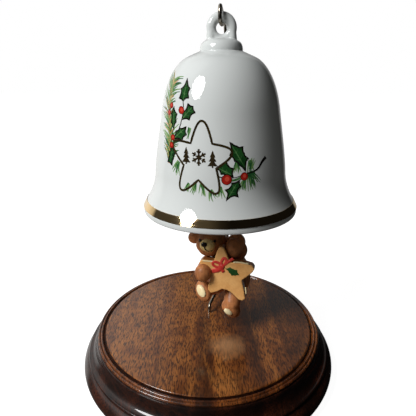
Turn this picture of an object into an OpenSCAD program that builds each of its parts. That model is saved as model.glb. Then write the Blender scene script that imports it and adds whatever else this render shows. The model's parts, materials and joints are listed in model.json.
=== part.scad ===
// Hanging porcelain bell with a bear-and-star clapper, on a turned wooden stand.
// Millimetres. Z is up and the origin is the centre of the stand's underside.
// X runs to the right of the bell's decorated front, which faces -Y.

/* [Stand] */
// Overall height of the turned base, felt pad included
base_h = 14.6; // [14.4:0.1:18]
// Radius of the flat top disc
disc_r = 36.4; // [34:0.2:40]
// Radius of the widest moulding
base_r = 44.4; // [43.5:0.1:50]
// Thickness of the felt pad under the base
felt_t = 0.8; // [0.4:0.1:0.8]

/* [Wire hanger] */
// Radius of the hanger wire
wire_r = 0.55; // [0.5:0.01:0.6]
// Depth of the wire's foot in the base
foot_depth = 9; // [6:0.5:11]

/* [Bell] */
// Offset of the bell's axis to the right of the stand's axis
bell_x = 3.9; // [2:0.1:6]
// Height of the rim above the top disc
rim_gap = 43.7; // [42:0.1:50]
// Largest radius of the rim
rim_r = 25; // [24.6:0.1:25.6]
// Thickness of the porcelain wall
wall_t = 2; // [1.6:0.1:2.4]
// Thickness of the fired-on gilding
gilt_t = 0.12; // [0.08:0.01:0.2]

/* [Clapper] */
// Radius of the small staples and of the link's rings
eye_r = 0.45; // [0.4:0.01:0.5]
// Thickness of the star biscuit
star_t = 3; // [2.4:0.1:3.4]
// Distance from the star's centre to its tips
star_r = 9.2; // [8.6:0.1:9.6]

/* [Hidden] */
$fn = 64;

// Small gap between parts that turn on each other
run_gap = 0.05;

// A wire's straights reach this far into its bends, and are this much fatter
lap = 0.05;
seat = 0.01;

// Heights above the stand's underside
rim_z = base_h + rim_gap;

// Carrying lug on the crown: a ring of round section on two short legs
lug_z = 53.65;
lug_mid_r = 2.92;
lug_r = 1.33;
lug_hole_r = lug_mid_r - lug_r;

// The hook's lowest centre line, which is the bell's swing axis
swing_z = rim_z + lug_z + lug_hole_r - run_gap - wire_r;
hook_r = lug_r + wire_r + 0.4;
hook_reach = hook_r + 0.1;

// Hanger corners, bottom to tip, with the bend radius at each inner corner
foot = [0.5, 4.2, base_h - foot_depth];
knee = [0.5, 4.2, base_h + 3];
heel = [8.5, 28, base_h + 6.2];
elbow = [6.2, 28, rim_z + 57.6];
brow = [bell_x, -hook_reach, rim_z + 59.45];
hook_front = [bell_x, -hook_reach, swing_z];
hook_back = [bell_x, hook_reach, swing_z];
hook_tip = [bell_x, hook_reach, swing_z + 3.4];
hanger_path = [foot, knee, heel, elbow, brow, hook_front, hook_back, hook_tip];
hanger_bends = [1.6, 7, 6, 1.9, hook_r, hook_r];

// Crown staple, link and figure staple hang in a line under the bell's crown
staple_half = 1.8;
staple_bend = 1.2;
crown_bar_z = 40.2;
figure_bar_z = -2.6;
ring_mid_r = 1.35;
ring_r = 0.4;
shank_r = 0.34;
ring_hole_r = ring_mid_r - ring_r;
ring_play = ring_hole_r - eye_r - run_gap;

// Front face and back face of the star biscuit, measured from the bell's axis
star_front = -9.6;
star_back = star_front + star_t;
star_x = 2.2;
star_z = -20.3;
star_inner = 0.58 * star_r;
star_blunt = 7;

// Masses of the bear, placed from the bell's axis and the height of its rim
figure_bar_leg = -14;
belly = [3.5, -0.4, -23.6];
belly_r = 7.3;
chest = [3.2, -0.8, -17.2];
chest_r = 6.2;
skull = [-2.5, -1.8, -12.4];
skull_r = 5.2;
muzzle = [-4, -6.2, -12.6];
muzzle_r = 2.5;
ears = [[-7.9, -0.6, -10.6], [0.4, -0.6, -7]];
ear_r = 2.1;
ear_t = 1.7;

// Mouldings of the base, as steps out from the disc's edge and drops below its top
edge_round = 0.3;
groove = [0.15, 0.9];
groove_drop = 1.2;
bead_in = [1.32, 0.5];
bead_in_r = 0.4;
bead_out = [2.2, 0.8];
bead_out_r = 0.5;
cove = [5.6, 2.2];
cove_size = [2.6, 3.9];
fillet = [5.7, 6, 6.9];
ovolo_drop = 10.6;
ovolo_size = [3.2, 3.4];
under_inset = 2.4;
felt_inset = 4;

function unit(v) = v / norm(v);
function arc(centre, size, from, to, step) =
    [for (a = [from : step : to]) centre + [size.x * cos(a), size.y * sin(a)]];
function bezier(a, b, c, d, n) =
    [for (i = [0 : n - 1]) let (t = i / n, s = 1 - t)
        s * s * s * a + 3 * s * s * t * b + 3 * s * t * t * c + t * t * t * d];

// Bell outline, radius and height above the rim, from the lip to the crown
lip_out = [rim_r - 0.2, 1.5];
band_top = [rim_r - 1.28, 3.6];
waist = [20.6, 12];
breast = [17.85, 31.2];
shoulder = [10.7, 45.5];
collar_foot = [6.3, 47.6];
collar_top = [4.9, 50.2];
band_line = concat(bezier(lip_out, [rim_r - 0.5, 2.3], [rim_r - 0.85, 3], band_top, 4), [band_top]);
flare_line = bezier(band_top, [rim_r - 2.1, 4.9], [20.95, 8], waist, 8);
side_line = bezier(waist, [20.2, 17.9], [18.7, 25.5], breast, 6);
dome_line = bezier(breast, [17, 37], [14.6, 43.2], shoulder, 10);
crown_line = bezier(shoulder, [9.4, 46.2], [7.2, 47], collar_foot, 5);
collar_line = bezier(collar_foot, [5.9, 48], [5.7, 49.6], collar_top, 5);
lip_r = wall_t / 2;
lip_line = [for (a = [180 : 22.5 : 337.5]) [lip_out.x - lip_r + lip_r * cos(a), 1.1 + 1.1 * sin(a)]];
inner_flare = bezier([waist.x - wall_t, 12], [18.95, 8], [rim_r - 3.6, 4.9], [rim_r - 2.2, 1.6], 7);
inner_side = bezier([15.9, 31], [16.7, 25.5], [18.2, 17.9], [waist.x - wall_t, 12], 6);
inner_dome = bezier([0, 43.4], [9.4, 43.4], [15.3, 39.4], [15.9, 31], 10);

// Straight length of round bar from a to b
module rod(a, b, r) {
    d = b - a;
    translate(a) rotate([0, acos(d.z / norm(d)), atan2(d.y, d.x)]) cylinder(h = norm(d), r = r);
}

function heading(path, i) = unit(path[i + 1] - path[i]);

// Length that the bend at corner i takes from the straight on each side of it
function setback(path, bends, i) =
    i == 0 || i == len(path) - 1 ? 0 :
    bends[i - 1] * tan(acos(heading(path, i - 1) * heading(path, i)) / 2);

// Round wire from corner i of path to its end, drawn along +Z from where straight i begins.
// side is the direction that the local X axis stands for.
module wire_from(path, bends, r, i, side) {
    ahead = heading(path, i);
    run = norm(path[i + 1] - path[i]) - setback(path, bends, i) - setback(path, bends, i + 1);
    translate([0, 0, -lap]) cylinder(h = run + 2 * lap, r = r + seat, $fn = 36);
    if (i < len(path) - 2) {
        next = heading(path, i + 1);
        turn = acos(ahead * next);
        inward = unit(next - (next * ahead) * ahead);
        bend = bends[i];
        translate([0, 0, run])
            rotate([0, 0, atan2(inward * cross(ahead, side), inward * side)]) {
                translate([bend, 0, 0]) rotate([90, 0, 180])
                    rotate_extrude(angle = turn, $fn = 36) translate([bend, 0]) circle(r = r, $fn = 36);
                translate([bend * (1 - cos(turn)), 0, bend * sin(turn)]) rotate([0, turn, 0])
                    wire_from(path, bends, r, i + 1, inward * cos(turn) - ahead * sin(turn));
            }
    }
}

// Wire whose first straight is vertical: down = 1 where it starts downwards
module bent_wire(path, bends, r, down = 0) {
    translate(path[0]) rotate([180 * down, 0, 0]) wire_from(path, bends, r, 0, [1, 0, 0]);
}

// Rounded limb: a ball at b, and a thinner length that runs back to a
module limb(a, b, r) {
    rod(a, b, 0.86 * r);
    translate(b) sphere(r = r);
}

// Moves from the bell's own axis and rim to the stand's frame
module at_bell() {
    translate([bell_x, 0, rim_z]) children();
}

function out_down(v) = [disc_r + v.x, base_h - v.y];

module base_outline() {
    polygon(concat(
        [[0, base_h], [disc_r - edge_round, base_h], [disc_r, base_h - edge_round]],
        [for (g = groove) out_down([g, groove_drop])],
        arc(out_down(bead_in), [bead_in_r, bead_in_r], 180, 0, -30),
        arc(out_down(bead_out), [bead_out_r, bead_out_r], 150, 0, -30),
        arc(out_down(cove), cove_size, 180, 255, 15),
        [out_down([fillet.x - 0.5, fillet.y + 0.1]), out_down([fillet.x, fillet.y])],
        [out_down([fillet.x + 0.3, fillet.y + 0.4]), out_down([fillet.x + 0.3, fillet.z])],
        arc([base_r - ovolo_size.x, base_h - ovolo_drop], ovolo_size, 80, -60, -20),
        [[base_r - under_inset, felt_t], [0, felt_t]]));
}

module base_turning() {
    color([0.27, 0.15, 0.08])
        difference() {
            rotate_extrude($fn = 128) base_outline();
            translate([foot.x, foot.y, foot.z - lap]) cylinder(h = foot_depth + 1, r = wire_r + 2 * seat);
        }
}

module felt_pad() {
    color([0.12, 0.25, 0.16])
        cylinder(h = felt_t, r = base_r - felt_inset, $fn = 128);
}

module wire_hanger() {
    color([0.78, 0.7, 0.5])
        bent_wire(hanger_path, hanger_bends, wire_r);
}

module lug() {
    translate([0, 0, lug_z])
        rotate([90, 0, 0])
            rotate_extrude() translate([lug_mid_r, 0]) circle(r = lug_r);
    for (side = [-1, 1])
        translate([side * lug_mid_r, 0, collar_top.y - 1])
            cylinder(h = lug_z - collar_top.y + 1, r1 = 1.6, r2 = 0.8);
}

module staple_sockets() {
    for (side = [-1, 1])
        translate([0, side * staple_half, crown_bar_z + 2])
            cylinder(h = 45 + lap - crown_bar_z - 2, r = eye_r + 2 * seat);
}

module bell_shell() {
    color([0.93, 0.93, 0.91])
        at_bell() difference() {
            union() {
                rotate_extrude($fn = 96)
                    polygon(concat(band_line, flare_line, side_line, dome_line, crown_line, collar_line,
                                   [collar_top, [4, 50.75], [0, 50.9]],
                                   inner_dome, inner_side, inner_flare, lip_line));
                lug();
            }
            staple_sockets();
        }
}

module gilt_band() {
    outer = [for (i = [len(band_line) - 1 : -1 : 0]) band_line[i] + [gilt_t, 0.3 * gilt_t]];
    color([0.8, 0.62, 0.25])
        at_bell() rotate_extrude($fn = 96) polygon(concat(band_line, outer));
}

module crown_staple() {
    y = staple_half;
    color([0.75, 0.68, 0.5])
        at_bell()
            bent_wire([[0, -y, 45], [0, -y, crown_bar_z], [0, y, crown_bar_z], [0, y, 45]],
                      [staple_bend, staple_bend], eye_r, down = 1);
}

module clapper_link() {
    top = crown_bar_z - ring_play;
    low = figure_bar_z + ring_play;
    color([0.85, 0.82, 0.74])
        at_bell() {
            translate([0, 0, top]) rotate([90, 0, 0])
                rotate_extrude() translate([ring_mid_r, 0]) circle(r = ring_r);
            translate([0, 0, low]) rotate([0, 90, 0])
                rotate_extrude() translate([ring_mid_r, 0]) circle(r = ring_r);
            translate([0, 0, low + ring_mid_r])
                cylinder(h = top - low - 2 * ring_mid_r, r = shank_r);
        }
}

module figure_staple_path(r) {
    x = staple_half;
    at_bell()
        bent_wire([[-x, 0, figure_bar_leg], [-x, 0, figure_bar_z],
                   [x, 0, figure_bar_z], [x, 0, figure_bar_leg]],
                  [staple_bend, staple_bend], r);
}

module figure_staple() {
    color([0.85, 0.82, 0.74]) figure_staple_path(eye_r);
}

// Fat five-pointed star with blunt tips
module star_outline() {
    shoulder_r = 0.97 * star_r;
    polygon([for (i = [0 : 4]) for (p = [[-36, star_inner], [-star_blunt, shoulder_r], [0, star_r],
                                         [star_blunt, shoulder_r]])
        let (a = 90 + 72 * i + p[0]) p[1] * [cos(a), sin(a)]]);
}

module star_plate() {
    at_bell() translate([star_x, star_back, star_z])
        rotate([90, 0, 0]) linear_extrude(star_t) star_outline();
}

module star_biscuit() {
    color([0.72, 0.5, 0.27]) star_plate();
}

// Belly and chest, flat where the star lies against them
module torso_mass() {
    at_bell() difference() {
        union() {
            translate(belly) sphere(r = belly_r);
            translate(chest) sphere(r = chest_r);
        }
        translate([-4 * belly_r, star_back - 2 * belly_r, -6 * belly_r]) cube(belly_r * [8, 2, 6]);
    }
}

module bear_torso() {
    color([0.42, 0.22, 0.12])
        difference() {
            torso_mass();
            figure_staple_path(eye_r + seat);
        }
}

module head_mass() {
    at_bell() {
        translate(skull) sphere(r = skull_r);
        translate(muzzle) sphere(r = muzzle_r);
        for (ear = ears)
            translate(ear) rotate([90, 0, 0]) cylinder(h = ear_t, r = ear_r, center = true);
    }
}

module bear_head() {
    color([0.45, 0.24, 0.13])
        difference() {
            head_mass();
            torso_mass();
            star_plate();
            figure_staple_path(eye_r + seat);
        }
}

// A limb bends round the star and stops at the torso and the head
module bear_limb(from, to, r) {
    color([0.5, 0.27, 0.14])
        difference() {
            at_bell() limb(from, to, r);
            torso_mass();
            star_plate();
            head_mass();
        }
}

module bear_arm_left() {
    bear_limb([-4.6, -4.6, -20], [-5.2, -8.8, -21], 2.8);
}

module bear_arm_right() {
    bear_limb([7.4, -3.4, -13.6], [6.2, -9, -12.6], 2.9);
}

module bear_leg_left() {
    bear_limb([-0.2, -2.8, -28], [-4.6, -5.6, -29], 3.1);
}

module bear_leg_right() {
    bear_limb([4.8, -2.2, -29.5], [4, -4.2, -36.6], 3.2);
}

base_turning();
felt_pad();
wire_hanger();
bell_shell();
gilt_band();
crown_staple();
clapper_link();
figure_staple();
star_biscuit();
bear_torso();
bear_head();
bear_arm_left();
bear_arm_right();
bear_leg_left();
bear_leg_right();
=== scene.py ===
"""Looks of the hanging porcelain bell on its turned stand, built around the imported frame.

Lengths are millimetres while a piece is built; finish_piece turns them into metres.
Bell and figure pieces are drawn about the bell's axis, with height 0 at the rim.
"""
import json
import math
import random

import bmesh
import bpy
from mathutils import Euler, Matrix, Vector
from mathutils.geometry import delaunay_2d_cdt


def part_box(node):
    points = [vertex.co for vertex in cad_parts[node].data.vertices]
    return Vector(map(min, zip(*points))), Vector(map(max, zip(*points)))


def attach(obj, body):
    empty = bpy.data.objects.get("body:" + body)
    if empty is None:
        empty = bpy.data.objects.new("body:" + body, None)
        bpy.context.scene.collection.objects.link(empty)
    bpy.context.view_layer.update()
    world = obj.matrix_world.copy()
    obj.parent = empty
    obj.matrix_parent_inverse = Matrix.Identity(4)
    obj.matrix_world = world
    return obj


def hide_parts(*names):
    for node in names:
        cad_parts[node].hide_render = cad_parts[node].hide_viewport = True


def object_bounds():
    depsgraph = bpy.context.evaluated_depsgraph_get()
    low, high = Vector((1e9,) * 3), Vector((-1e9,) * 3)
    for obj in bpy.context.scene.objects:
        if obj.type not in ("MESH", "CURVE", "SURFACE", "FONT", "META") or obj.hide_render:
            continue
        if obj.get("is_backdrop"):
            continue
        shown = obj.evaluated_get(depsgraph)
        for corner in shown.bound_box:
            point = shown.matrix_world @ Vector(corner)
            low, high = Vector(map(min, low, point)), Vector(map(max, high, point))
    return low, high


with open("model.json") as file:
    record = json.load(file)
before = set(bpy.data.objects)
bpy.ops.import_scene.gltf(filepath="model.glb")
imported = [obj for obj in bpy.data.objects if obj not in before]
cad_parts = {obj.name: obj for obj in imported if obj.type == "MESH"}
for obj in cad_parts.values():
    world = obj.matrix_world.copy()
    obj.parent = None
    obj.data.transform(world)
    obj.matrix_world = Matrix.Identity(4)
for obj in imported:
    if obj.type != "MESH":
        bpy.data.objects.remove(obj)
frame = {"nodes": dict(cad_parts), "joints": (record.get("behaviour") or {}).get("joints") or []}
cad_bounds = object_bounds()

# ---------------------------------------------------------------- places from the frame
MM = 0.001
JOINTS = {joint["name"]: joint for joint in frame["joints"]}
BELL_X = JOINTS["bell_swing"]["pos_m"][0] / MM
RIM_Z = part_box("bell_shell")[0].z / MM
RIM_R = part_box("bell_shell")[1].x / MM - BELL_X
AT_BELL = Vector((BELL_X, 0, RIM_Z))
DISC_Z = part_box("base_turning")[1].z / MM
BASE_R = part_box("base_turning")[1].x / MM
DISC_R = BASE_R - 8
FELT_T = (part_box("felt_pad")[1].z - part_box("felt_pad")[0].z) / MM
STAR_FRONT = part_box("star_biscuit")[0].y / MM
STAR_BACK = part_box("star_biscuit")[1].y / MM
# The biscuit turns by this many degrees about the upright line through these two places
STAR_TURN = -12
STAR_AXIS = (2.2, (STAR_FRONT + STAR_BACK) / 2)
# Sides of the round turned forms
BELL_SIDES = 240
WOOD_SIDES = 256


# ---------------------------------------------------------------- mesh helpers
def bezier(a, b, c, d, steps):
    """Points of a cubic curve from a up to, but not including, d."""
    points = []
    for i in range(steps):
        t = i / steps
        s = 1 - t
        weights = (s ** 3, 3 * s * s * t, 3 * s * t * t, t ** 3)
        points.append(tuple(sum(w * p[k] for w, p in zip(weights, (a, b, c, d))) for k in range(len(a))))
    return points


def arc(centre, size, start, end, steps):
    """Points on an ellipse from angle start to angle end, in degrees."""
    angles = [math.radians(start + (end - start) * i / steps) for i in range(steps + 1)]
    return [(centre[0] + size[0] * math.cos(a), centre[1] + size[1] * math.sin(a)) for a in angles]


def finish_piece(name, bm, material, body, origin=(0, 0, 0), nodes=(), sharp=40):
    """Makes a finished piece in metres from a mesh in millimetres, riding on body."""
    bmesh.ops.translate(bm, verts=bm.verts, vec=Vector(origin))
    bmesh.ops.scale(bm, verts=bm.verts, vec=(MM, MM, MM))
    for face in bm.faces:
        face.smooth = True
    for edge in bm.edges:
        if len(edge.link_faces) == 2 and edge.calc_face_angle(0) > math.radians(sharp):
            edge.smooth = False
    mesh = bpy.data.meshes.new(name)
    bm.to_mesh(mesh)
    bm.free()
    mesh.materials.append(material)
    piece = bpy.data.objects.new(name, mesh)
    bpy.context.scene.collection.objects.link(piece)
    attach(piece, body)
    if nodes:
        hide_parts(*nodes)


def lathe(outline, segments):
    """A closed outline of (radius, height) points turned about the Z axis."""
    bm = bmesh.new()
    rings = []
    for r, z in outline:
        if r < 1e-6:
            rings.append([bm.verts.new((0, 0, z))])
            continue
        angles = [2 * math.pi * k / segments for k in range(segments)]
        rings.append([bm.verts.new((r * math.cos(a), r * math.sin(a), z)) for a in angles])
    for low, high in zip(rings, rings[1:] + rings[:1]):
        for k in range(segments):
            corners = [low[k % len(low)], low[(k + 1) % len(low)],
                       high[(k + 1) % len(high)], high[k % len(high)]]
            corners = list(dict.fromkeys(corners))
            if len(corners) > 2:
                bm.faces.new(corners)
    bmesh.ops.recalc_face_normals(bm, faces=bm.faces)
    return bm


def sweep(points, radii, sides=16, squash=(1, 1, 1), loop=False):
    """A round tube along points, joined up as a loop or closed at both ends.

    radii is one number, or one at each point. squash flattens the section along each axis.
    """
    bm = bmesh.new()
    points = [Vector(p) for p in points]
    if not hasattr(radii, "__len__"):
        radii = [radii] * len(points)
    ahead = [(b - a).normalized() for a, b in zip(points, points[1:])]
    first, last = ahead[0], ahead[-1]
    if loop:
        ahead.append((points[0] - points[-1]).normalized())
        first = (ahead[-1] + ahead[0]).normalized()
        last = (ahead[-2] + ahead[-1]).normalized()
    tangents = [first] + [(a + b).normalized() for a, b in zip(ahead, ahead[1:])][:len(points) - 2] + [last]
    side = tangents[0].orthogonal().normalized()
    rings = []
    for point, tangent, radius in zip(points, tangents, radii):
        side = (side - tangent * side.dot(tangent)).normalized()
        up = tangent.cross(side)
        section = []
        for k in range(sides):
            a = 2 * math.pi * k / sides
            offset = (side * math.cos(a) + up * math.sin(a)) * radius
            section.append(bm.verts.new(point + Vector(o * s for o, s in zip(offset, squash))))
        rings.append(section)
    for low, high in zip(rings, rings[1:] + (rings[:1] if loop else [])):
        for k in range(sides):
            bm.faces.new((low[k], low[(k + 1) % sides], high[(k + 1) % sides], high[k]))
    if not loop:
        bm.faces.new(reversed(rings[0]))
        bm.faces.new(rings[-1])
    bmesh.ops.recalc_face_normals(bm, faces=bm.faces)
    return bm


def smooth_path(points, steps=8):
    """A smooth curve through points, with steps pieces between each two."""
    points = [Vector(p) for p in points]
    padded = [2 * points[0] - points[1]] + points + [2 * points[-1] - points[-2]]
    curve = []
    for a, b, c, d in zip(padded, padded[1:], padded[2:], padded[3:]):
        for i in range(steps):
            t = i / steps
            curve.append(0.5 * (2 * b + (c - a) * t + (2 * a - 5 * b + 4 * c - d) * t * t
                                + (3 * b - a - 3 * c + d) * t ** 3))
    return curve + [points[-1]]


def rounded_path(corners, bends, steps=10):
    """Straights between corners, with a circular bend of the given radius at each inner corner."""
    corners = [Vector(c) for c in corners]
    path = [corners[0]]
    for before, corner, after, bend in zip(corners, corners[1:], corners[2:], bends):
        back = (before - corner).normalized()
        on = (after - corner).normalized()
        half = back.angle(on) / 2
        centre = corner + (back + on).normalized() * bend / math.sin(half)
        start = corner + back * bend / math.tan(half) - centre
        end = corner + on * bend / math.tan(half) - centre
        turn = start.angle(end)
        for i in range(steps + 1):
            t = i / steps
            blend = (start * math.sin((1 - t) * turn) + end * math.sin(t * turn)) / math.sin(turn)
            path.append(centre + blend)
    return path + [corners[-1]]


def join(*meshes):
    """One bmesh that holds copies of all the given ones, which are freed."""
    whole = bmesh.new()
    for part in meshes:
        spare = bpy.data.meshes.new("spare")
        part.to_mesh(spare)
        part.free()
        whole.from_mesh(spare)
        bpy.data.meshes.remove(spare)
    return whole


def ring(centre, plane, mid, r, squash=(1, 1, 1)):
    """A ring of round wire that lies in the plane named."""
    centre = Vector(centre)
    first, second = [Vector([float(axis == name) for name in "XYZ"]) for axis in plane]
    angles = [2 * math.pi * k / 96 for k in range(96)]
    path = [centre + (first * math.cos(a) + second * math.sin(a)) * mid for a in angles]
    return sweep(path, r, 24, squash, loop=True)


def ball(centre, size, turn=(0, 0, 0), detail=4):
    """An ellipsoid as a bmesh. turn is in degrees."""
    bm = bmesh.new()
    size = size if hasattr(size, "__len__") else (size, size, size)
    place = Matrix.Translation(Vector(centre)) @ Euler([math.radians(a) for a in turn]).to_matrix().to_4x4()
    place = place @ Matrix.Diagonal((*size, 1))
    bmesh.ops.create_icosphere(bm, subdivisions=detail, radius=1, matrix=place)
    return bm


def limb(a, b, ra, rb):
    """A rounded limb from a ball at a to a ball at b."""
    a, b = Vector(a), Vector(b)
    count = max(2, int((b - a).length / (0.35 * min(ra, rb))))
    return join(*[ball(a.lerp(b, i / count), ra + (rb - ra) * i / count, detail=3) for i in range(count + 1)])


def moulded(bm, voxel, rounds):
    """Melts overlapping solids into one skin, and softens where they meet."""
    mesh = bpy.data.meshes.new("clay")
    bm.to_mesh(mesh)
    bm.free()
    clay = bpy.data.objects.new("clay", mesh)
    bpy.context.scene.collection.objects.link(clay)
    remesh = clay.modifiers.new("remesh", "REMESH")
    remesh.mode = "VOXEL"
    remesh.voxel_size = voxel
    smooth = clay.modifiers.new("smooth", "SMOOTH")
    smooth.factor = 0.5
    smooth.iterations = rounds
    shaped = clay.evaluated_get(bpy.context.evaluated_depsgraph_get()).to_mesh()
    result = bmesh.new()
    result.from_mesh(shaped)
    clay.to_mesh_clear()
    bpy.data.objects.remove(clay)
    bpy.data.meshes.remove(mesh)
    bmesh.ops.recalc_face_normals(result, faces=result.faces)
    return result


# ---------------------------------------------------------------- material helpers
class Nodes:
    """A node tree, and short calls for the nodes that materials and the world share."""

    def __init__(self, tree, place):
        self.tree = tree
        self.place = tree.nodes.new("ShaderNodeTexCoord").outputs[place]

    def put(self, socket, value):
        """Links an output to the socket, or sets a plain value on it."""
        if hasattr(value, "links"):
            self.tree.links.new(value, socket)
        else:
            socket.default_value = value

    def new(self, kind, outlet, **values):
        """Adds a node, puts values in the inputs named, and gives one of its outputs."""
        node = self.tree.nodes.new("ShaderNode" + kind)
        for name, value in values.items():
            self.put(node.inputs[name], value)
        return node.outputs[outlet]

    def ramp(self, fac, *stops):
        """Colours or greys at places from 0 to 1."""
        node = self.tree.nodes.new("ShaderNodeValToRGB")
        self.put(node.inputs["Fac"], fac)
        for extra in stops[2:]:
            node.color_ramp.elements.new(extra[0])
        for element, (position, colour) in zip(node.color_ramp.elements, stops):
            element.position = position
            colour = colour if hasattr(colour, "__len__") else (colour, colour, colour)
            element.color = (*colour, 1)
        return node.outputs["Color"]

    def math(self, kind, *values):
        node = self.tree.nodes.new("ShaderNodeMath")
        node.operation = kind
        for socket, value in zip(node.inputs, values):
            self.put(socket, value)
        return node.outputs[0]

    def measure(self, kind, vector):
        """The dot product of the place and a vector, or the distance between them."""
        node = self.tree.nodes.new("ShaderNodeVectorMath")
        node.operation = kind
        self.put(node.inputs[0], self.place)
        node.inputs[1].default_value = vector
        return node.outputs["Value"]


class Shader(Nodes):
    """A Principled material and short calls for the nodes that feed it."""

    def __init__(self, name, **values):
        self.material = bpy.data.materials.new(name)
        self.material.use_nodes = True
        super().__init__(self.material.node_tree, "Object")
        self.main = self.tree.nodes["Principled BSDF"]
        for key, value in values.items():
            self.main.inputs[key.replace("_", " ")].default_value = value

    def stretch(self, scale, turn=(0, 0, 0)):
        """Object coordinates, scaled per axis to cells per metre and turned by degrees."""
        turn = [math.radians(a) for a in turn]
        return self.new("Mapping", "Vector", Vector=self.place, Scale=scale, Rotation=turn)

    def noise(self, scale, detail=3, rough=0.5, where=None, distortion=0):
        return self.new("TexNoise", "Fac", Vector=where or self.place, Scale=scale, Detail=detail,
                        Roughness=rough, Distortion=distortion)

    def cells(self, scale):
        return self.new("TexVoronoi", "Distance", Vector=self.place, Scale=scale)

    def mix(self, fac, a, b):
        node = self.tree.nodes.new("ShaderNodeMix")
        node.data_type = "RGBA"
        self.put(node.inputs["Factor"], fac)
        self.put(node.inputs[6], a if hasattr(a, "links") else (*a, 1))
        self.put(node.inputs[7], b if hasattr(b, "links") else (*b, 1))
        return node.outputs[2]

    def depth(self, start, inward):
        """Millimetres from the plane through start, measured along the unit vector inward."""
        along = self.math("DIVIDE", self.measure("DOT_PRODUCT", inward), MM)
        return self.math("SUBTRACT", along, Vector(start).dot(inward))

    def distance(self, centre):
        """Millimetres from centre."""
        return self.math("DIVIDE", self.measure("DISTANCE", Vector(centre) * MM), MM)

    def bump(self, height, strength, depth, **below):
        """Relief of a depth in millimetres. Normal, where it is given, is another bump to lay it on."""
        relief = self.new("Bump", "Normal", Height=height, Strength=strength, Distance=depth * MM, **below)
        self.put(self.main.inputs["Normal"], relief)
        return relief

    def colour(self, value):
        self.put(self.main.inputs["Base Color"], value)

    def roughness(self, value):
        self.put(self.main.inputs["Roughness"], value)


# ---------------------------------------------------------------- materials
def porcelain():
    """White body under a thick clear glaze that lies very slightly uneven."""
    s = Shader("glazed_porcelain", Coat_Weight=1.0, Coat_Roughness=0.02, Coat_IOR=1.5, Specular_IOR_Level=0.0)
    cloud = s.noise(90, 3)
    specks = s.cells(700)
    body = s.mix(cloud, (0.635, 0.665, 0.655), (0.675, 0.700, 0.690))
    s.colour(s.mix(s.ramp(specks, (0.0, 1.0), (0.035, 0.0)), body, (0.55, 0.52, 0.47)))
    s.roughness(s.ramp(s.noise(400, 2), (0.3, 0.22), (0.7, 0.32)))
    ripple = s.bump(s.noise(110, 2), 0.25, 0.04)
    s.bump(s.noise(900, 2), 0.12, 0.01, Normal=ripple)
    return s.material


def gilding():
    """Fired-on gold lustre: a mirror with hair scratches and rubbed places."""
    s = Shader("gold_lustre", Metallic=1.0)
    worn = s.noise(260, 4)
    s.colour(s.mix(worn, (0.74, 0.50, 0.22), (0.90, 0.68, 0.38)))
    hairs = s.noise(900, 3, where=s.stretch((0.15, 0.15, 2.5)))
    s.roughness(s.ramp(hairs, (0.35, 0.05), (0.75, 0.10)))
    s.bump(hairs, 0.05, 0.006)
    return s.material


def print_ink(name, dark, light, scale=450):
    """Enamel transfer fired under gloss, thinner in places so the colour wanders."""
    s = Shader(name, Coat_Weight=1.0, Coat_Roughness=0.03, Specular_IOR_Level=0.0)
    thin = s.noise(scale, 4, 0.65)
    s.colour(s.ramp(thin, (0.3, dark), (0.72, light)))
    s.roughness(s.ramp(s.noise(1200, 2), (0.3, 0.28), (0.7, 0.42)))
    s.bump(thin, 0.15, 0.01)
    return s.material


def painted(name, dark, light, rough=(0.32, 0.5), gloss=0.2):
    """Satin paint brushed over a cast body: mottled, with fine brush drag and pits."""
    s = Shader(name, Coat_Weight=gloss, Coat_Roughness=0.2, Specular_IOR_Level=0.25)
    wash = s.noise(260, 5, 0.6)
    drag = s.noise(1500, 3, where=s.stretch((1, 1, 0.35), (20, 35, 0)))
    both = s.mix(0.35, wash, drag)
    s.colour(s.ramp(both, (0.32, dark), (0.66, light)))
    s.roughness(s.ramp(drag, (0.3, rough[0]), (0.7, rough[1])))
    soft = s.bump(wash, 0.35, 0.05)
    s.bump(drag, 0.25, 0.02, Normal=soft)
    return s.material


def biscuit():
    """Baked tan: the front is pale, and the sides and back are a much darker brown, partly toasted colour and
    partly painted shade.
    """
    s = Shader("biscuit_tan", Coat_Weight=0.5, Coat_Roughness=0.2, Specular_IOR_Level=0.25)
    crumb = s.noise(180, 5, 0.6)
    speck = s.noise(1400, 3, 0.6)
    front = s.ramp(s.mix(0.3, crumb, speck), (0.33, (0.74, 0.34, 0.095)), (0.66, (0.95, 0.54, 0.20)))
    # Darker brown for the sides and back: toasted colour, and painted shade on the side walls as well
    toasted_and_shaded = s.ramp(crumb, (0.3, (0.14, 0.045, 0.012)), (0.7, (0.34, 0.13, 0.035)))
    turn = math.radians(STAR_TURN)
    inward = Vector((-math.sin(turn), math.cos(turn), 0))
    middle = AT_BELL + Vector((*STAR_AXIS, 0))
    depth = s.depth(middle - inward * (STAR_BACK - STAR_FRONT) / 2, inward)
    s.colour(s.mix(s.ramp(depth, (0.45, 0.0), (0.95, 1.0)), front, toasted_and_shaded))
    s.roughness(s.ramp(speck, (0.3, 0.34), (0.7, 0.52)))
    s.bump(speck, 0.25, 0.03, Normal=s.bump(crumb, 0.35, 0.06))
    return s.material


# Middle of a pale spot painted into the disc's colour as a painted highlight, standing for a reflection in
# the varnish; in front of the wire and to its right
PAINTED_HIGHLIGHT_AT = (6.3, -15.0, DISC_Z)


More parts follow.
